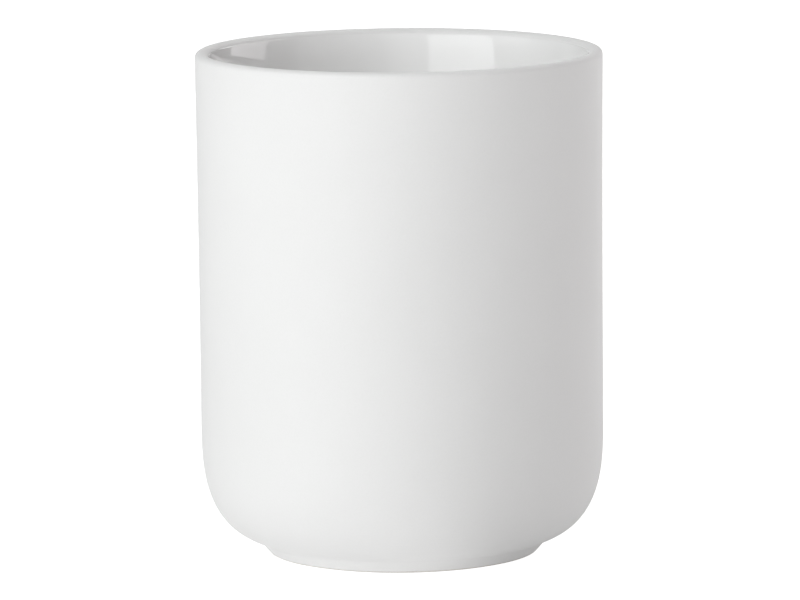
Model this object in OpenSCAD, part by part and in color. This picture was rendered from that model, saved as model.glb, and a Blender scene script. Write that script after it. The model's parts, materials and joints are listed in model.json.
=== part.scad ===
// Pen holder cup: a fired stoneware body with a matte coat outside, a glossy glaze inside,
// a glazed recess under the base and a thin non-slip ring bonded to the foot.
// Millimetres, +Z up. The origin is on the desk, at the centre of the foot.

/* [Cup] */
// Outer diameter at the rim
cup_d = 80; // [68:0.5:110]
// Height from the desk to the crown of the lip
cup_h = 99.5; // [75:0.5:150]
// How far the wall draws in from the rim down to the shoulder, on the radius
draft = 0.32; // [0:0.01:1]

/* [Lip and wall] */
// Radius of the lip's outer round
lip_out_r = 1.15; // [0.8:0.05:1.4]
// Radius of the lip's inner round
lip_in_r = 1.8; // [1.4:0.1:2.2]
// Where the matte coat stops inside the lip, in degrees past its crown
seam_angle = 60; // [20:2:62]
// Slope of the inside where the lip's inner round ends, in degrees from vertical
lip_slope = 24; // [18:1:26]
// Slope of the flare under the lip, in degrees from vertical
flare_angle = 9.6; // [7:0.2:12]
// Thickness of the wall at the shoulder
wall_t = 5; // [4.7:0.1:6]
// How much the inside narrows from the flare down to the floor curve, on the radius
well_draft = 0.2; // [0.1:0.05:0.6]

/* [Shoulder and floor] */
// Height at which the outer wall starts to curve in
shoulder_h = 25.6; // [20:0.1:32]
// How far in the shoulder curve reaches, on the radius
shoulder_w = 18.5; // [15:0.5:22]
// Squareness of the shoulder curve, where 2 is an ellipse
shoulder_n = 2.8; // [2.2:0.01:3]
// Height of the inside floor above the desk
floor_h = 7.2; // [6.5:0.1:10]
// Radius of the curve between the inside floor and the wall
floor_curve = 13; // [10:0.5:18]

/* [Foot] */
// How far the edge of the foot's flat is set in from the wall, on the radius
foot_inset = 13.4; // [12:0.1:16]
// Lean of the foot's side, in degrees from vertical
foot_lean = 42; // [20:1:50]
// Height at which the foot runs into the shoulder
foot_h = 2.95; // [2.4:0.05:3.6]
// Width of the flat of the foot ring
foot_w = 4; // [3:0.1:6]
// Height of the recess inside the foot ring, above the desk
recess_h = 2.5; // [2:0.1:3]

/* [Finish] */
// Thickness of the matte coat
coat_t = 0.2; // [0.15:0.01:0.3]
// Thickness of the inside glaze
glaze_t = 0.35; // [0.2:0.01:0.45]
// Thickness of the glaze in the recess under the base
under_t = 0.3; // [0.2:0.01:0.4]
// Thickness of the non-slip ring
pad_t = 0.3; // [0.2:0.05:0.6]
// Width of the non-slip ring
pad_w = 1.8; // [1.4:0.1:2.6]

/* [Hidden] */
$fn = 160;

rim_r = cup_d / 2;
low_r = rim_r - draft;
foot_r = low_r - foot_inset;
foot_edge = 0.3;
ring_edge = 0.6;
ring_flat_r = foot_r - foot_w;
ring_in_r = ring_flat_r - ring_edge;

// Points on an arc about a centre, from one angle to another.
function arc(centre, r, from, to, steps) =
    [for (i = [0:steps]) let (a = from + (to - from) * i / steps) centre + r * [cos(a), sin(a)]];

// Points on a curve from a to c that leaves and arrives along the lines to the corner b.
function bend(a, b, c, steps) =
    [for (i = [0:steps]) let (t = i / steps) (1 - t) * (1 - t) * a + 2 * t * (1 - t) * b + t * t * c];

function slice(points, from, to) = [for (i = [from:to]) points[i]];
function rest(points) = slice(points, 1, len(points) - 1);
function last(points) = points[len(points) - 1];
function reverse(points) = [for (i = [len(points) - 1:-1:0]) points[i]];

// A run of points moved sideways by a distance, to the left as the run is walked.
function beside(points, distance) =
    [for (i = [0:len(points) - 1])
        let (ahead = points[min(i + 1, len(points) - 1)], behind = points[max(i - 1, 0)])
        let (along = (ahead - behind) / norm(ahead - behind))
        points[i] + distance * [-along[1], along[0]]];

// The bare edge of the foot, from its flat round to its side, and the side above it.
bare_edge = arc([foot_r, pad_t + foot_edge], foot_edge, -90, -foot_lean, 6);
side_foot = last(bare_edge);
side_top = side_foot + (foot_h - side_foot[1]) * [tan(foot_lean), 1];

// The shoulder is a superellipse whose lower end meets the top of the foot's side.
shoulder_x = low_r - shoulder_w;
shoulder_from = acos(pow((side_top[0] - shoulder_x) / shoulder_w, shoulder_n / 2));
shoulder_drop = (shoulder_h - foot_h) / pow(sin(shoulder_from), 2 / shoulder_n);
function shoulder_at(a) =
    [shoulder_x + shoulder_w * pow(cos(a), 2 / shoulder_n),
     shoulder_h - shoulder_drop * pow(sin(a), 2 / shoulder_n)];
shoulder_steps = 30;
shoulder = [for (i = [1:shoulder_steps]) shoulder_at(shoulder_from * (1 - i / shoulder_steps))];

// A small cove softens the corner between the foot's side and the shoulder.
cove_reach = 0.35;
cove = bend(side_top + cove_reach * (side_foot - side_top), side_top, shoulder[0], 4);

// The wall widens towards the rim, most of it near the top, and ends in the lip.
wall_steps = 14;
lip_out_centre = [rim_r - lip_out_r, cup_h - lip_out_r];
wall = [for (i = [1:wall_steps]) let (s = i / wall_steps)
    [low_r + draft * s * s, shoulder_h + (lip_out_centre[1] - shoulder_h) * s]];
seam_at = 90 + seam_angle;
lip_out = arc(lip_out_centre, lip_out_r, 0, 90, 10);
lip_in_centre = [rim_r - lip_out_r, cup_h - lip_in_r];
lip_in = arc(lip_in_centre, lip_in_r, 90, seam_at, 8);
coated = concat([side_foot], cove, rest(shoulder), wall, rest(lip_out), rest(lip_in));

// The inside: the rest of the lip, which eases into a flare, the near-upright well and the
// curve to the floor.
lip_under = arc(lip_in_centre, lip_in_r, seam_at, 180 - lip_slope, 3);
ease_upper = 1.7;
ease_lower = 2.6;
flare_dir = [tan(flare_angle), 1];
ease_corner = last(lip_under) - ease_upper * [tan(lip_slope), 1];
flare_top = ease_corner - ease_lower * flare_dir;
ease = bend(last(lip_under), ease_corner, flare_top, 8);
well_top_r = low_r - wall_t;
flare_foot = flare_top - (flare_top[0] - well_top_r) / flare_dir[0] * flare_dir;
well_r = well_top_r - well_draft;
well_foot = [well_r, floor_h + floor_curve];
well_dir = (well_foot - flare_foot) / norm(well_foot - flare_foot);
flare_blend = 0.3 * (flare_top[1] - flare_foot[1]);
flare = bend(flare_foot + flare_blend * flare_dir, flare_foot, flare_foot + flare_blend * well_dir, 8);
floor_corner = arc([well_r - floor_curve, well_foot[1]], floor_curve, 0, -90, 24);
glazed = concat(lip_under, rest(ease), flare, floor_corner, [[0, floor_h]]);

// The recess inside the foot ring, from the ring's side over a slightly domed roof.
recess_fillet = 0.9;
recess_roof = recess_h + 0.3;
ring_inner = arc([ring_flat_r, pad_t + ring_edge], ring_edge, 180, 270, 6);
recess_corner = arc([ring_in_r - recess_fillet, recess_h - recess_fillet], recess_fillet, 0, 90, 8);
recess_dome = bend(last(recess_corner), [0.7 * ring_in_r, recess_roof], [0.3 * ring_in_r, recess_roof], 6);
recess = concat(recess_corner, rest(recess_dome), [[0, recess_roof]]);

// The whole outside in one run, and the surfaces under each layer of finish.
outline = concat(bare_edge, rest(coated), rest(glazed));
coat_from = len(bare_edge) - 1;
seam = coat_from + len(coated) - 1;
outline_end = len(outline) - 1;
under_coat = slice(beside(outline, coat_t), coat_from, seam);
under_glaze = slice(beside(outline, glaze_t), seam, outline_end);
over_recess = beside(recess, -under_t);

module turned(section) {
    rotate_extrude() polygon(section);
}

// The fired clay: wall, base and foot ring in one piece. It shows only on the foot ring.
module stoneware_body() {
    color("#e1ded8")
        turned(concat(bare_edge, under_coat, under_glaze, reverse(over_recess), [recess[0]], ring_inner));
}

// The matte coat over the foot's side, the shoulder, the wall and the lip.
module matte_coat() {
    color("#f0efed") turned(concat(slice(outline, coat_from, seam), reverse(under_coat)));
}

// The glossy glaze that lines the inside from the lip to the floor.
module inner_glaze() {
    color("#f7f7f6") turned(concat(slice(outline, seam, outline_end), reverse(under_glaze)));
}

// The glaze on the recessed underside. The foot ring around it is wiped bare for firing.
module underside_glaze() {
    color("#eeece8") turned(concat(recess, reverse(over_recess)));
}

// The thin non-slip ring, bonded to the flat of the foot ring and set back from both its edges.
module foot_pad() {
    chamfer = 0.1;
    inner = (ring_flat_r + foot_r - pad_w) / 2;
    outer = inner + pad_w;
    color("#d2d1ce")
        turned([[inner + chamfer, 0], [outer - chamfer, 0], [outer, chamfer],
                [outer, pad_t], [inner, pad_t], [inner, chamfer]]);
}

stoneware_body();
matte_coat();
inner_glaze();
underside_glaze();
foot_pad();
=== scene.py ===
"""Looks of the pen holder cup: fine turned meshes with ceramic finishes, in a plain studio."""
import json
import math

import bpy
import numpy as np
from mathutils import Matrix, Vector


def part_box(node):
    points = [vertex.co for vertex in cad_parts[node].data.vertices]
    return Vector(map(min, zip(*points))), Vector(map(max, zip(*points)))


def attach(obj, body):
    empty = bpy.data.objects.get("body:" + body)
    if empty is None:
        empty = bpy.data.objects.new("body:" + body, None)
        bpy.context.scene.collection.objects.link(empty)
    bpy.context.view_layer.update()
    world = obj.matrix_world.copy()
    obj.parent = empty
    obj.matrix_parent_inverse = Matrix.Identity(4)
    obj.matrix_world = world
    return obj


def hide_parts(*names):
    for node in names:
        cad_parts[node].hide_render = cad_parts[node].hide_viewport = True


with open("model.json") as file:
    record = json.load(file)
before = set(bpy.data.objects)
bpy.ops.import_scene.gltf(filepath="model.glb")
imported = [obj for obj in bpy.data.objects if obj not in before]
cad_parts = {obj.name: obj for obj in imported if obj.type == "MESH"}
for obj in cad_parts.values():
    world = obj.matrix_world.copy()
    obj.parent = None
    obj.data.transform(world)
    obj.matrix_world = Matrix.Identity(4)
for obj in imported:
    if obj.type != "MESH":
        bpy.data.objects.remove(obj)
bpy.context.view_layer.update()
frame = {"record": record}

MM = 0.001
BODY = "root"

# Meshes: steps round the cup, the gap within which two points are one, and the widest angle
# between two faces, in degrees, that is still shaded smooth.
SEGMENTS = 288
SAME_POINT = 1e-7
SMOOTH_ANGLE = 50

# ---------------------------------------------------------------------------------------------
# Sizes in metres and angles in degrees. The nodes' boxes give what they can. The rest are the
# CAD source's own values, under the same names.
# ---------------------------------------------------------------------------------------------
coat_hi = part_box("matte_coat")[1]
clay_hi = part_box("stoneware_body")[1]
glaze_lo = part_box("inner_glaze")[0]
under_lo, under_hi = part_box("underside_glaze")
pad_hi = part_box("foot_pad")[1]
pad_middle_r = frame["record"]["mounts"][0]["pos_m"][0]

rim_r = coat_hi.x
cup_h = coat_hi.z
coat_t = rim_r - clay_hi.x
pad_t = pad_hi.z
glaze_t = 0.35 * MM
under_t = 0.3 * MM
floor_h = glaze_lo.z + glaze_t

draft = 0.32 * MM
low_r = rim_r - draft
lip_out_r = 1.15 * MM
lip_in_r = 1.8 * MM
lip_out_centre = np.array([rim_r - lip_out_r, cup_h - lip_out_r])
lip_in_centre = np.array([rim_r - lip_out_r, cup_h - lip_in_r])
seam_angle = 60
lip_slope = 24
ease_upper = 1.7 * MM
ease_lower = 2.6 * MM
flare_angle = 9.6
flare_blend_share = 0.3
wall_t = 5 * MM
well_draft = 0.2 * MM
well_top_r = low_r - wall_t
well_r = well_top_r - well_draft
floor_curve = 13 * MM

shoulder_h = 25.6 * MM
shoulder_w = 18.5 * MM
shoulder_n = 2.8
foot_inset = 13.4 * MM
foot_r = low_r - foot_inset
foot_h = 2.95 * MM
foot_lean = 42
foot_edge = 0.3 * MM
cove_reach = 0.35

foot_w = 4 * MM
ring_edge = 0.6 * MM
ring_flat_r = foot_r - foot_w
ring_in_r = ring_flat_r - ring_edge
recess_fillet = 0.9 * MM
recess_h = under_lo.z + recess_fillet
recess_roof = under_hi.z - under_t
dome_corner_r = 0.7 * ring_in_r
dome_flat_r = 0.3 * ring_in_r
pad_edge = 0.14 * MM

# The finish by hand: how far the coat's edges wander (at the seam, in degrees round the lip),
# how deep and how long the unevenness of coat and glaze is, and the groove where they meet.
seam_wander = 2.5
foot_wander = 0.12 * MM
coat_uneven = 0.05 * MM
coat_pitch = 70 * MM
glaze_uneven = 0.04 * MM
glaze_pitch = 40 * MM
groove_depth = 0.05 * MM
groove_width = 0.25 * MM
SEAM_SEED = 11
FOOT_SEED = 12
COAT_SEED = 21
GLAZE_SEED = 22


# ---------------------------------------------------------------------------------------------
# Curves in the plane of the radius and the height
# ---------------------------------------------------------------------------------------------
def arc(centre, radius, start, end, steps):
    """Points on an arc, from one angle to another in degrees."""
    a = np.radians(np.linspace(start, end, steps + 1))
    return np.array(centre) + radius * np.stack([np.cos(a), np.sin(a)], 1)


def on_circle(centre, radius, angle):
    """The one point of a circle at an angle in degrees."""
    return arc(centre, radius, angle, angle, steps=0)[0]


def leaning(angle):
    """A step that rises by 1 and leans outwards by an angle from vertical, in degrees."""
    return np.array([math.tan(math.radians(angle)), 1])


def bend(a, b, c, steps):
    """Points on a curve from a to c that leaves and arrives along the lines to the corner b."""
    t = np.linspace(0, 1, steps + 1)[:, None]
    return (1 - t) ** 2 * np.array(a) + 2 * t * (1 - t) * np.array(b) + t ** 2 * np.array(c)


def line(a, b, steps):
    """Evenly spaced points from a to b."""
    return np.linspace(a, b, steps + 1)


def join(*runs):
    """Runs end to end. A point that two runs share is kept once."""
    points = [runs[0]]
    for run in runs[1:]:
        shared = np.allclose(run[0], points[-1][-1], atol=SAME_POINT)
        points.append(run[1:] if shared else run)
    return np.concatenate(points)


def normals(points):
    """Unit vectors to the left of a run of points."""
    along = np.gradient(points, axis=0)
    along /= np.linalg.norm(along, axis=1)[:, None]
    return np.stack([-along[:, 1], along[:, 0]], 1)


def beside(points, distance):
    """The run moved to its left by a distance, which may differ from point to point."""
    moved = points + np.reshape(distance, (-1, 1)) * normals(points)
    moved[:, 0] = np.maximum(moved[:, 0], 0)
    return moved


def walked(points):
    """Distance along the run at each point."""
    return np.r_[0, np.cumsum(np.linalg.norm(np.diff(points, axis=0), axis=1))]


def rising(distance, start, length):
    """0 up to a start, and from there rising to 1 over a length."""
    return np.clip((distance - start) / length, 0, 1)


def wander(theta, seed):
    """A smooth closed wave round the cup, between -1 and 1."""
    draw = np.random.default_rng(seed)
    turns = np.array([2, 3, 5, 8, 13])
    weights = np.array([0.35, 0.3, 0.2, 0.1, 0.05])
    phases = draw.uniform(0, 2 * math.pi, len(turns))
    return float(np.sum(weights * np.sin(turns * theta + phases)))


def unevenness(theta, distance, seed, pitch):
    """A soft unevenness between 0 and 1 over a surface, by angle and by distance along the profile."""
    draw = np.random.default_rng(seed)
    total = np.zeros_like(distance)
    for turns, weight in ((2, 0.3), (3, 0.25), (5, 0.2), (9, 0.15), (14, 0.1)):
        around, up = draw.uniform(0, 2 * math.pi, 2)
        # A wave with more turns round the cup is also shorter along the profile.
        waves = (0.6 + 0.25 * turns) / pitch
        total += weight * np.sin(turns * theta + around) * np.sin(2 * math.pi * distance * waves + up)
    return 0.5 + 0.5 * total


def ease_edge(points, at_start, at_end):
    """How far a surface dips at its edges, so that two finishes meet in a fine groove."""
    s = walked(points)
    dip = np.zeros(len(points))
    for wanted, gap in ((at_start, s), (at_end, s[-1] - s)):
        if wanted:
            dip += groove_depth * np.clip(1 - gap / groove_width, 0, 1) ** 2
    return dip


# ---------------------------------------------------------------------------------------------
# The profile, as in the CAD source but with finer steps
# ---------------------------------------------------------------------------------------------
edge_centre = [foot_r, pad_t + foot_edge]
side_foot = on_circle(edge_centre, foot_edge, -foot_lean)
side_dir = leaning(foot_lean)
side_top = side_foot + (foot_h - side_foot[1]) * side_dir
bare_edge = arc(edge_centre, foot_edge, -90, -foot_lean, steps=10)

shoulder_x = low_r - shoulder_w
shoulder_from = math.acos(((side_top[0] - shoulder_x) / shoulder_w) ** (shoulder_n / 2))
shoulder_drop = (shoulder_h - foot_h) / math.sin(shoulder_from) ** (2 / shoulder_n)


def shoulder_run(steps):
    """The superellipse from the top of the foot's side up to the wall."""
    a = shoulder_from * (1 - np.linspace(0, 1, steps + 1))
    r = shoulder_x + shoulder_w * np.cos(a) ** (2 / shoulder_n)
    z = shoulder_h - shoulder_drop * np.sin(a) ** (2 / shoulder_n)
    return np.stack([r, z], 1)


def wall_run(steps):
    """The wall from the shoulder to the lip, a little wider towards the top."""
    s = np.linspace(0, 1, steps + 1)
    return np.stack([low_r + draft * s * s, shoulder_h + (lip_out_centre[1] - shoulder_h) * s], 1)


# The cove takes the place of the shoulder's first steps.
shoulder = shoulder_run(steps=70)[2:]
cove_start = side_top + cove_reach * (side_foot - side_top)
cove = bend(cove_start, side_top, shoulder[0], steps=8)
wall = wall_run(steps=40)

lip_end = on_circle(lip_in_centre, lip_in_r, 180 - lip_slope)
flare_dir = leaning(flare_angle)
ease_corner = lip_end - ease_upper * leaning(lip_slope)
flare_top = ease_corner - ease_lower * flare_dir
flare_foot = flare_top - (flare_top[0] - well_top_r) / flare_dir[0] * flare_dir
well_foot = np.array([well_r, floor_h + floor_curve])
well_dir = (well_foot - flare_foot) / np.linalg.norm(well_foot - flare_foot)
flare_blend = flare_blend_share * (flare_top[1] - flare_foot[1])
blend_top = flare_foot + flare_blend * flare_dir
blend_foot = flare_foot + flare_blend * well_dir
floor_corner = arc([well_r - floor_curve, well_foot[1]], floor_curve, 0, -90, steps=40)
floor_start = floor_corner[-1]

recess_centre = [ring_in_r - recess_fillet, recess_h - recess_fillet]
recess_corner = arc(recess_centre, recess_fillet, 0, 90, steps=12)
recess_dome = bend(recess_corner[-1], [dome_corner_r, recess_roof], [dome_flat_r, recess_roof], steps=16)
recess = join(recess_corner, recess_dome, line(recess_dome[-1], [0, recess_roof], steps=6))
ring_inner = arc([ring_flat_r, pad_t + ring_edge], ring_edge, 180, 270, steps=10)


def seam_at(theta):
    """Where the coat gives way to the glaze on the lip, in degrees round the lip."""
    return 90 + seam_angle + seam_wander * wander(theta, SEAM_SEED)


def coat_start(theta):
    """Where the coat starts on the foot's side. It wanders up from the bare edge, never below it."""
    return side_foot + foot_wander * (1 + wander(theta, FOOT_SEED)) * side_dir


def coated_run(theta):
    """The coat's outer surface at one angle round the cup, from the foot to the seam on the lip."""
    side = line(coat_start(theta), cove_start, steps=10)
    lip_out = arc(lip_out_centre, lip_out_r, 0, 90, steps=24)
    lip_in = arc(lip_in_centre, lip_in_r, 90, seam_at(theta), steps=20)
    return join(side, cove, shoulder, wall, lip_out, lip_in)


def glazed_run(theta):
    """The inside glaze's surface at one angle, from the seam on the lip to the middle of the floor."""
    lip = arc(lip_in_centre, lip_in_r, seam_at(theta), 180 - lip_slope, steps=6)
    ease = bend(lip_end, ease_corner, flare_top, steps=20)
    flare = line(flare_top, blend_top, steps=12)
    blend = bend(blend_top, flare_foot, blend_foot, steps=14)
    well = line(blend_foot, well_foot, steps=40)
    floor = line(floor_start, [0, floor_h], steps=14)
    return join(lip, ease, flare, blend, well, floor_corner, floor)


def layer_section(run, thickness, raised):
    """A layer's section: the run raised by what its finish adds, and an underside a third as fine."""
    under = beside(run, thickness)[::-1]
    return np.concatenate([beside(run, raised), under[:1], under[1:-1:3], under[-1:]])


def coat_section(theta):
    """The matte coat, uneven except near the foot and the lip."""
    run = coated_run(theta)
    s = walked(run)
    depth = cup_h - run[:, 1]
    fade = rising(s, start=0, length=6 * MM) * rising(depth, start=3 * MM, length=6 * MM)
    uneven = coat_uneven * unevenness(theta, s, COAT_SEED, coat_pitch)
    return layer_section(run, coat_t, uneven * fade + ease_edge(run, True, True))


def glaze_section(theta):
    """The inside glaze, uneven except near the lip and the middle of the floor."""
    run = glazed_run(theta)
    s = walked(run)
    fade = rising(s, start=2 * MM, length=5 * MM) * rising(run[:, 0], start=0, length=12 * MM)
    uneven = glaze_uneven * unevenness(theta, s, GLAZE_SEED, glaze_pitch)
    return layer_section(run, glaze_t, uneven * fade + ease_edge(run, True, False))


def clay_section(theta):
    """The fired clay: the bare edge of the foot, and the surfaces under the coat and the glazes."""
    bare_side = line(side_foot, coat_start(theta), steps=2)
    under_coat = beside(coated_run(theta), coat_t)
    under_glaze = beside(glazed_run(theta), glaze_t)
    over_recess = beside(recess, -under_t)[::-1]
    return join(bare_edge, bare_side, under_coat[::2], under_glaze[::2][:-1], under_glaze[-1:],
                over_recess, recess[:1], ring_inner)


def underside_section(theta):
    """The glaze in the recess, the same all round."""
    return np.concatenate([recess, beside(recess, -under_t)[::-1]])


def pad_section(theta):
    """The non-slip ring, the same all round: a flat strip with softly rounded lower edges."""
    outer = pad_hi.x
    inner = 2 * pad_middle_r - outer
    return join(arc([inner + pad_edge, pad_edge], pad_edge, 180, 270, steps=6),
                arc([outer - pad_edge, pad_edge], pad_edge, 270, 360, steps=6),
                np.array([[outer, pad_t], [inner, pad_t]]))


# ---------------------------------------------------------------------------------------------
# Meshes
# ---------------------------------------------------------------------------------------------
def turned(name, section):
    """A closed mesh with the given section at each angle round the axis. Points on the axis are poles."""
    angles = np.linspace(0, 2 * math.pi, SEGMENTS, endpoint=False)
    sections = [section(theta) for theta in angles]
    count = len(sections[0])
    on_axis = sections[0][:, 0] < SAME_POINT
    verts = []
    index = np.zeros((SEGMENTS, count), int)
    for j in range(count):
        if on_axis[j]:
            index[:, j] = len(verts)
            verts.append((0, 0, sections[0][j, 1]))
            continue
        for i, theta in enumerate(angles):
            r, z = sections[i][j]
            index[i, j] = len(verts)
            verts.append((r * math.cos(theta), r * math.sin(theta), z))
    faces = []
    for i in range(SEGMENTS):
        next_i = (i + 1) % SEGMENTS
        for j in range(count):
            next_j = (j + 1) % count
            if on_axis[j] and on_axis[next_j]:
                continue
            corners = [index[i, j], index[next_i, j], index[next_i, next_j], index[i, next_j]]
            faces.append(list(dict.fromkeys(corners)))
    mesh = bpy.data.meshes.new(name)
    mesh.from_pydata(verts, [], faces)
    mesh.validate()
    mesh.polygons.foreach_set("use_smooth", [True] * len(mesh.polygons))
    mesh.set_sharp_from_angle(angle=math.radians(SMOOTH_ANGLE))
    obj = bpy.data.objects.new(name, mesh)
    bpy.context.scene.collection.objects.link(obj)
    return obj


# ---------------------------------------------------------------------------------------------
# Materials. Texture scales are in features per metre.
# ---------------------------------------------------------------------------------------------
# Where a colour Mix node keeps its factor, its two colours and its result.
MIX_FACTOR = 0
MIX_A = 6
MIX_B = 7
MIX_RESULT = 2


class Shader:
    """A node-based material, with short calls for the nodes that these finishes use."""

    def __init__(self, name, **constants):
        self.material = bpy.data.materials.new(name)
        self.material.use_nodes = True
        self.tree = self.material.node_tree
        self.principled = self.tree.nodes["Principled BSDF"]
        self.place = self.node("ShaderNodeTexCoord").outputs["Object"]
        for socket, value in constants.items():
            self.principled.inputs[socket.replace("_", " ")].default_value = value

    def node(self, kind, **settings):
        made = self.tree.nodes.new(kind)
        for key, value in settings.items():
            setattr(made, key, value)
        return made

    def link(self, source, target):
        self.tree.links.new(source, target)

    def axis(self, letter):
        """Distance along an axis from the origin, in metres."""
        made = self.node("ShaderNodeSeparateXYZ")
        self.link(self.place, made.inputs["Vector"])
        return made.outputs[letter]

    def noise(self, scale, detail=2.0, roughness=0.5, distortion=0.0):
        made = self.node("ShaderNodeTexNoise")
        self.link(self.place, made.inputs["Vector"])
        made.inputs["Scale"].default_value = scale
        made.inputs["Detail"].default_value = detail
        made.inputs["Roughness"].default_value = roughness
        made.inputs["Distortion"].default_value = distortion
        return made.outputs["Fac"]

    def ramp(self, value, *stops, interpolation="LINEAR"):
        """Colours or greys along a value, as (position, colour) stops."""
        made = self.node("ShaderNodeValToRGB")
        self.link(value, made.inputs["Fac"])
        made.color_ramp.interpolation = interpolation
        elements = made.color_ramp.elements
        while len(elements) < len(stops):
            elements.new(0.5)
        for element, (position, colour) in zip(elements, stops):
            element.position = position
            element.color = (*colour, 1) if isinstance(colour, tuple) else (colour, colour, colour, 1)
        return made.outputs["Color"]

    def mix(self, factor, a, b, blend="MIX"):
        """Two colours mixed by a number or by another node's value."""
        made = self.node("ShaderNodeMix", data_type="RGBA", blend_type=blend)
        if isinstance(factor, float):
            made.inputs[MIX_FACTOR].default_value = factor
        else:
            self.link(factor, made.inputs[MIX_FACTOR])
        self.link(a, made.inputs[MIX_A])
        self.link(b, made.inputs[MIX_B])
        return made.outputs[MIX_RESULT]

    def mapped(self, value, kind="LINEAR", **ends):
        made = self.node("ShaderNodeMapRange", interpolation_type=kind)
        self.link(value, made.inputs["Value"])
        for socket, end in ends.items():
            made.inputs[socket.replace("_", " ")].default_value = end
        return made.outputs["Result"]

    def spread(self, value, low, high):
        """A value from 0 to 1 spread over another range."""
        return self.mapped(value, To_Min=low, To_Max=high)

    def between(self, value, low, high, kind="LINEAR"):
        """0 below one value, 1 above another, and rising between them."""
        return self.mapped(value, kind, From_Min=low, From_Max=high)

    def colour(self, source):
        self.link(source, self.principled.inputs["Base Color"])

    def rough(self, source):
        self.link(source, self.principled.inputs["Roughness"])

    def bump(self, *layers):
        """Relief from (height, depth in metres) layers, one on top of another."""
        normal = None
        for source, depth in layers:
            made = self.node("ShaderNodeBump")
            made.inputs["Strength"].default_value = 1
            made.inputs["Distance"].default_value = depth
            self.link(source, made.inputs["Height"])
            if normal is not None:
                self.link(normal, made.inputs["Normal"])
            normal = made.outputs["Normal"]
        self.link(normal, self.principled.inputs["Normal"])


def matte_coat_material():
    """Soft white matt finish: faint clouding, a very fine tooth and hardly any gloss."""
    s = Shader("matte_white_coat", Specular_IOR_Level=0.35, Sheen_Weight=0.04, Sheen_Roughness=0.5)
    cloud = s.noise(45, detail=3)
    tooth = s.noise(2600, detail=3, roughness=0.6)
    clouded = s.ramp(cloud, (0.3, (0.840, 0.837, 0.832)), (0.7, (0.854, 0.851, 0.846)))
    toothed = s.ramp(tooth, (0.25, (0.955, 0.953, 0.950)), (0.6, (1.0, 1.0, 1.0)))
    s.colour(s.mix(0.35, clouded, toothed, "MULTIPLY"))
    s.rough(s.spread(s.noise(140, detail=2), 0.54, 0.64))
    s.bump((s.noise(160, detail=2), 0.02 * MM), (tooth, 0.012 * MM))
    return s.material


def inner_glaze_material():
    """Glossy white glaze with the gentle unevenness of a poured layer, warmer where it thins at the lip."""
    s = Shader("gloss_white_glaze", IOR=1.52)
    depth = s.noise(60, detail=2)
    body = s.ramp(depth, (0.3, (0.908, 0.905, 0.898)), (0.7, (0.920, 0.918, 0.913)))
    thin = s.ramp(s.noise(500, detail=2), (0.3, (0.850, 0.838, 0.820)), (0.7, (0.870, 0.862, 0.848)))
    at_lip = s.between(s.axis("Z"), cup_h - 1.1 * MM, cup_h - 0.5 * MM, "SMOOTHSTEP")
    s.colour(s.mix(at_lip, body, thin))
    s.rough(s.spread(s.noise(220, detail=2), 0.045, 0.085))
    s.bump((s.noise(110, detail=1), 0.02 * MM), (s.noise(700, detail=1), 0.0015 * MM))
    return s.material


def stoneware_material():
    """Bare fired clay on the foot ring: pale, grainy and wiped in rings."""
    s = Shader("bare_stoneware", Specular_IOR_Level=0.25)
    grain = s.noise(3800, detail=4, roughness=0.7)
    cloud = s.noise(220, detail=3)
    clay = s.ramp(cloud, (0.3, (0.745, 0.725, 0.690)), (0.7, (0.800, 0.785, 0.755)))
    grit = s.ramp(grain, (0.30, (0.80, 0.77, 0.72)), (0.46, (0.98, 0.975, 0.97)), (0.75, (1.0, 1.0, 1.0)))
    s.colour(s.mix(0.7, clay, grit, "MULTIPLY"))
    rings = s.node("ShaderNodeTexWave", wave_type="RINGS", rings_direction="Z")
    s.link(s.place, rings.inputs["Vector"])
    rings.inputs["Scale"].default_value = 700
    rings.inputs["Distortion"].default_value = 3
    s.rough(s.spread(cloud, 0.82, 0.95))
    s.bump((rings.outputs["Fac"], 0.015 * MM), (grain, 0.035 * MM))
    return s.material


def underside_glaze_material():
    """Satin glaze in the recess: a little creamier and duller than the inside."""
    s = Shader("satin_white_glaze", IOR=1.5)
    cloud = s.noise(90, detail=4, distortion=0.6)
    s.colour(s.ramp(cloud, (0.3, (0.800, 0.785, 0.758)), (0.7, (0.862, 0.852, 0.832))))
    s.rough(s.spread(s.noise(400, detail=3), 0.24, 0.36))
    s.bump((s.noise(180, detail=2), 0.03 * MM), (s.noise(1500, detail=2), 0.004 * MM))
    return s.material


def foot_pad_material():
    """Soft pale-grey silicone with a fine moulded grain and a little lint in it."""
    s = Shader("grey_silicone", Specular_IOR_Level=0.4)
    lint = s.noise(1800, detail=4, roughness=0.7)
    dark = (0.590, 0.582, 0.568)
    middle = (0.640, 0.632, 0.618)
    pale = (0.680, 0.672, 0.660)
    s.colour(s.ramp(lint, (0.3, dark), (0.55, middle), (0.8, pale)))
    s.rough(s.spread(s.noise(900, detail=2), 0.55, 0.72))
    s.bump((s.noise(3000, detail=2), 0.012 * MM), (s.noise(350, detail=2), 0.02 * MM))
    return s.material


# Each piece's name, section and material, the CAD node that it replaces and its slot.
PIECES = (
    ("coat_shell", coat_section, matte_coat_material, "matte_coat", "matte_white_coat"),
    ("glaze_lining", glaze_section, inner_glaze_material, "inner_glaze", "gloss_white_glaze"),
    ("clay_body", clay_section, stoneware_material, "stoneware_body", "bare_stoneware"),
    ("recess_glaze", underside_section, underside_glaze_material, "underside_glaze", "satin_white_glaze"),
    ("non_slip_ring", pad_section, foot_pad_material, "foot_pad", "grey_silicone"),
)
for name, section, material, node, slot in PIECES:
    piece = turned(name, section)
    piece.data.materials.append(material())
    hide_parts(node)
    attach(piece, BODY)


# ---------------------------------------------------------------------------------------------
# Studio: a white table, softboxes round the cup and a plain surround
# ---------------------------------------------------------------------------------------------
cup_middle = Vector((0, 0, cup_h / 2))

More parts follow.
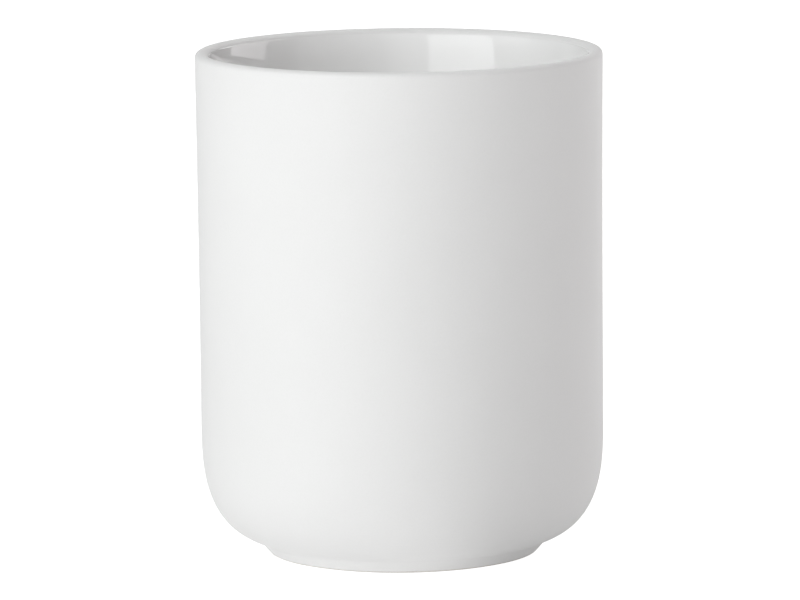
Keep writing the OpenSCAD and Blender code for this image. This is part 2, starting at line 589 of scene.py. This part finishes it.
# How far the softboxes stand from the middle of the cup, in metres, the highest elevation in
# degrees that an upright one reaches, and the watts a square metre for a radiance of 1.
softbox_distance = 1.6
upright_limit = 50
WATTS_PER_RADIANCE = 4

table_radius = 4
table_sides = 96
table_grey = 0.5

# The shade that the cup casts on the table in the key light: its span along X, in metres, and
# the shares of that span between which it is full.
shade_span = (0.004, 0.070)
shade_full = (0.33, 0.5)

NEUTRAL = (1, 1, 1)
COOL = (0.982, 1.0, 1.0)
WARM = (1.0, 0.962, 0.972)

# Each softbox's name, its azimuths and elevations in degrees, its radiance and its tint.
SOFTBOXES = (
    ("key_low", (-64.5, -19.8), (0, 20), 2.15, COOL),
    ("key_mid", (-64.5, -19.8), (20, 45), 2.35, COOL),
    ("key_top", (-75, -5), (48, 70), 0.55, COOL),
    ("left_low", (-95, -65), (0, 22), 0.2, COOL),
    ("left_high", (-95, -65), (22, 60), 0.64, COOL),
    ("back_left", (-175, -125), (0, 50), 0.32, NEUTRAL),
    ("back", (168, 192), (0, 50), 0.55, NEUTRAL),
    ("back_right", (95, 130), (11, 38), 1.49, WARM),
    ("backdrop_low", (135, 170), (0, 5), 3.8, NEUTRAL),
    ("backdrop_high", (137, 165), (22, 60), 1.8, NEUTRAL),
    ("right_side", (47, 69), (5, 36), 0.38, WARM),
    ("right_low", (70, 130), (0, 4), 1.8, WARM),
    ("front", (-20, 6), (5, 50), 0.72, NEUTRAL),
    ("front_right", (6, 45), (5, 50), 0.29, WARM),
    ("front_low", (-18, 60), (0, 7), 0.12, WARM),
    ("overhead", (-30, 30), (70, 110), 0.24, NEUTRAL),
)


def direction(azimuth, elevation):
    """A unit vector from the cup. Azimuth 0 is towards the camera's side and 90 is to its right."""
    a = math.radians(azimuth)
    e = math.radians(elevation)
    return Vector((math.sin(a) * math.cos(e), -math.cos(a) * math.cos(e), math.sin(e)))


def softbox(name, azimuths, elevations, radiance, tint):
    """A rectangular light over a span of azimuths and elevations as the cup sees it.

    A low one stands upright, so that its sides mirror as straight lines. A high one faces the cup.
    """
    a0, a1 = azimuths
    e0, e1 = elevations
    middle = (a0 + a1) / 2
    light = bpy.data.lights.new(name, "AREA")
    light.shape = "RECTANGLE"
    light.size = 2 * softbox_distance * math.tan(math.radians(a1 - a0) / 2)
    if e1 <= upright_limit:
        low, high = (softbox_distance * math.tan(math.radians(e)) for e in (e0, e1))
        light.size_y = high - low
        towards = direction(middle, 0)
        place = softbox_distance * towards + Vector((0, 0, (low + high) / 2))
    else:
        light.size_y = 2 * softbox_distance * math.tan(math.radians(e1 - e0) / 2)
        towards = direction(middle, (e0 + e1) / 2)
        place = softbox_distance * towards
    light.energy = WATTS_PER_RADIANCE * radiance * light.size * light.size_y
    light.color = tint
    lamp = bpy.data.objects.new(name, light)
    lamp.location = cup_middle + place
    lamp.rotation_mode = "QUATERNION"
    lamp.rotation_quaternion = (-towards).to_track_quat("-Z", "Y")
    lamp.visible_camera = False
    bpy.context.scene.collection.objects.link(lamp)


def seen_or_given(tree, seen, given):
    """A strength with one value where the camera sees the surface directly and another elsewhere.

    The other value is a number or a node's output.
    """
    rays = tree.nodes.new("ShaderNodeLightPath")
    pick = tree.nodes.new("ShaderNodeMapRange")
    tree.links.new(rays.outputs["Is Camera Ray"], pick.inputs["Value"])
    pick.inputs["To Max"].default_value = seen
    if isinstance(given, float):
        pick.inputs["To Min"].default_value = given
    else:
        tree.links.new(given, pick.inputs["To Min"])
    return pick.outputs["Result"]


def table(glow_seen, glow_given, glow_shaded):
    """The white table that the cup stands on. It gives less light where the cup shades it from the key."""
    mesh = bpy.data.meshes.new("table")
    angles = np.linspace(0, 2 * math.pi, table_sides, endpoint=False)
    corners = [(table_radius * math.cos(a), table_radius * math.sin(a), 0) for a in angles]
    mesh.from_pydata(corners, [], [list(range(table_sides))])
    top = bpy.data.objects.new("table", mesh)
    bpy.context.scene.collection.objects.link(top)
    s = Shader("white_table", Base_Color=(table_grey, table_grey, table_grey, 1), Roughness=0.9,
               Specular_IOR_Level=0, Emission_Color=(1, 1, 1, 1))
    shaded_from, shaded_to = shade_full
    shade = s.ramp(s.between(s.axis("X"), *shade_span), (0, glow_given), (shaded_from, glow_shaded),
                   (shaded_to, glow_shaded), (1, glow_given), interpolation="EASE")
    s.link(seen_or_given(s.tree, glow_seen, shade), s.principled.inputs["Emission Strength"])
    mesh.materials.append(s.material)


def surround(glow_seen, glow_given):
    """The plain surround: white behind the table, dim in the light that it gives."""
    world = bpy.data.worlds.new("studio")
    bpy.context.scene.world = world
    world.use_nodes = True
    tree = world.node_tree
    background = tree.nodes["Background"]
    background.inputs["Color"].default_value = (1, 1, 1, 1)
    tree.links.new(seen_or_given(tree, glow_seen, glow_given), background.inputs["Strength"])


for settings in SOFTBOXES:
    softbox(*settings)
table(glow_seen=1.0, glow_given=0.48, glow_shaded=0.24)
surround(glow_seen=1.0, glow_given=0.01)


# ---------------------------------------------------------------------------------------------
# Camera: at the photo's viewing angle, with its slight roll
# ---------------------------------------------------------------------------------------------
camera_distance = 1.4
camera_elevation = 8.46
camera_roll = 0.58
camera_lens = 320
camera_sensor = 36
aim_shift = Vector((-0.23 * MM, 0, 0.16 * MM))
aim = cup_middle + aim_shift

lens = bpy.data.cameras.new("camera")
lens.sensor_width = camera_sensor
lens.lens = camera_lens
lens.clip_start = 0.05
lens.clip_end = 20
camera = bpy.data.objects.new("camera", lens)
bpy.context.scene.collection.objects.link(camera)
back = direction(0, camera_elevation)
place = Matrix.Translation(aim + camera_distance * back)
facing = (-back).to_track_quat("-Z", "Y").to_matrix().to_4x4()
roll = Matrix.Rotation(-math.radians(camera_roll), 4, "Z")
camera.matrix_world = place @ facing @ roll
bpy.context.scene.camera = camera

bpy.context.scene.view_settings.view_transform = "Standard"
bpy.context.scene.view_settings.look = "None"
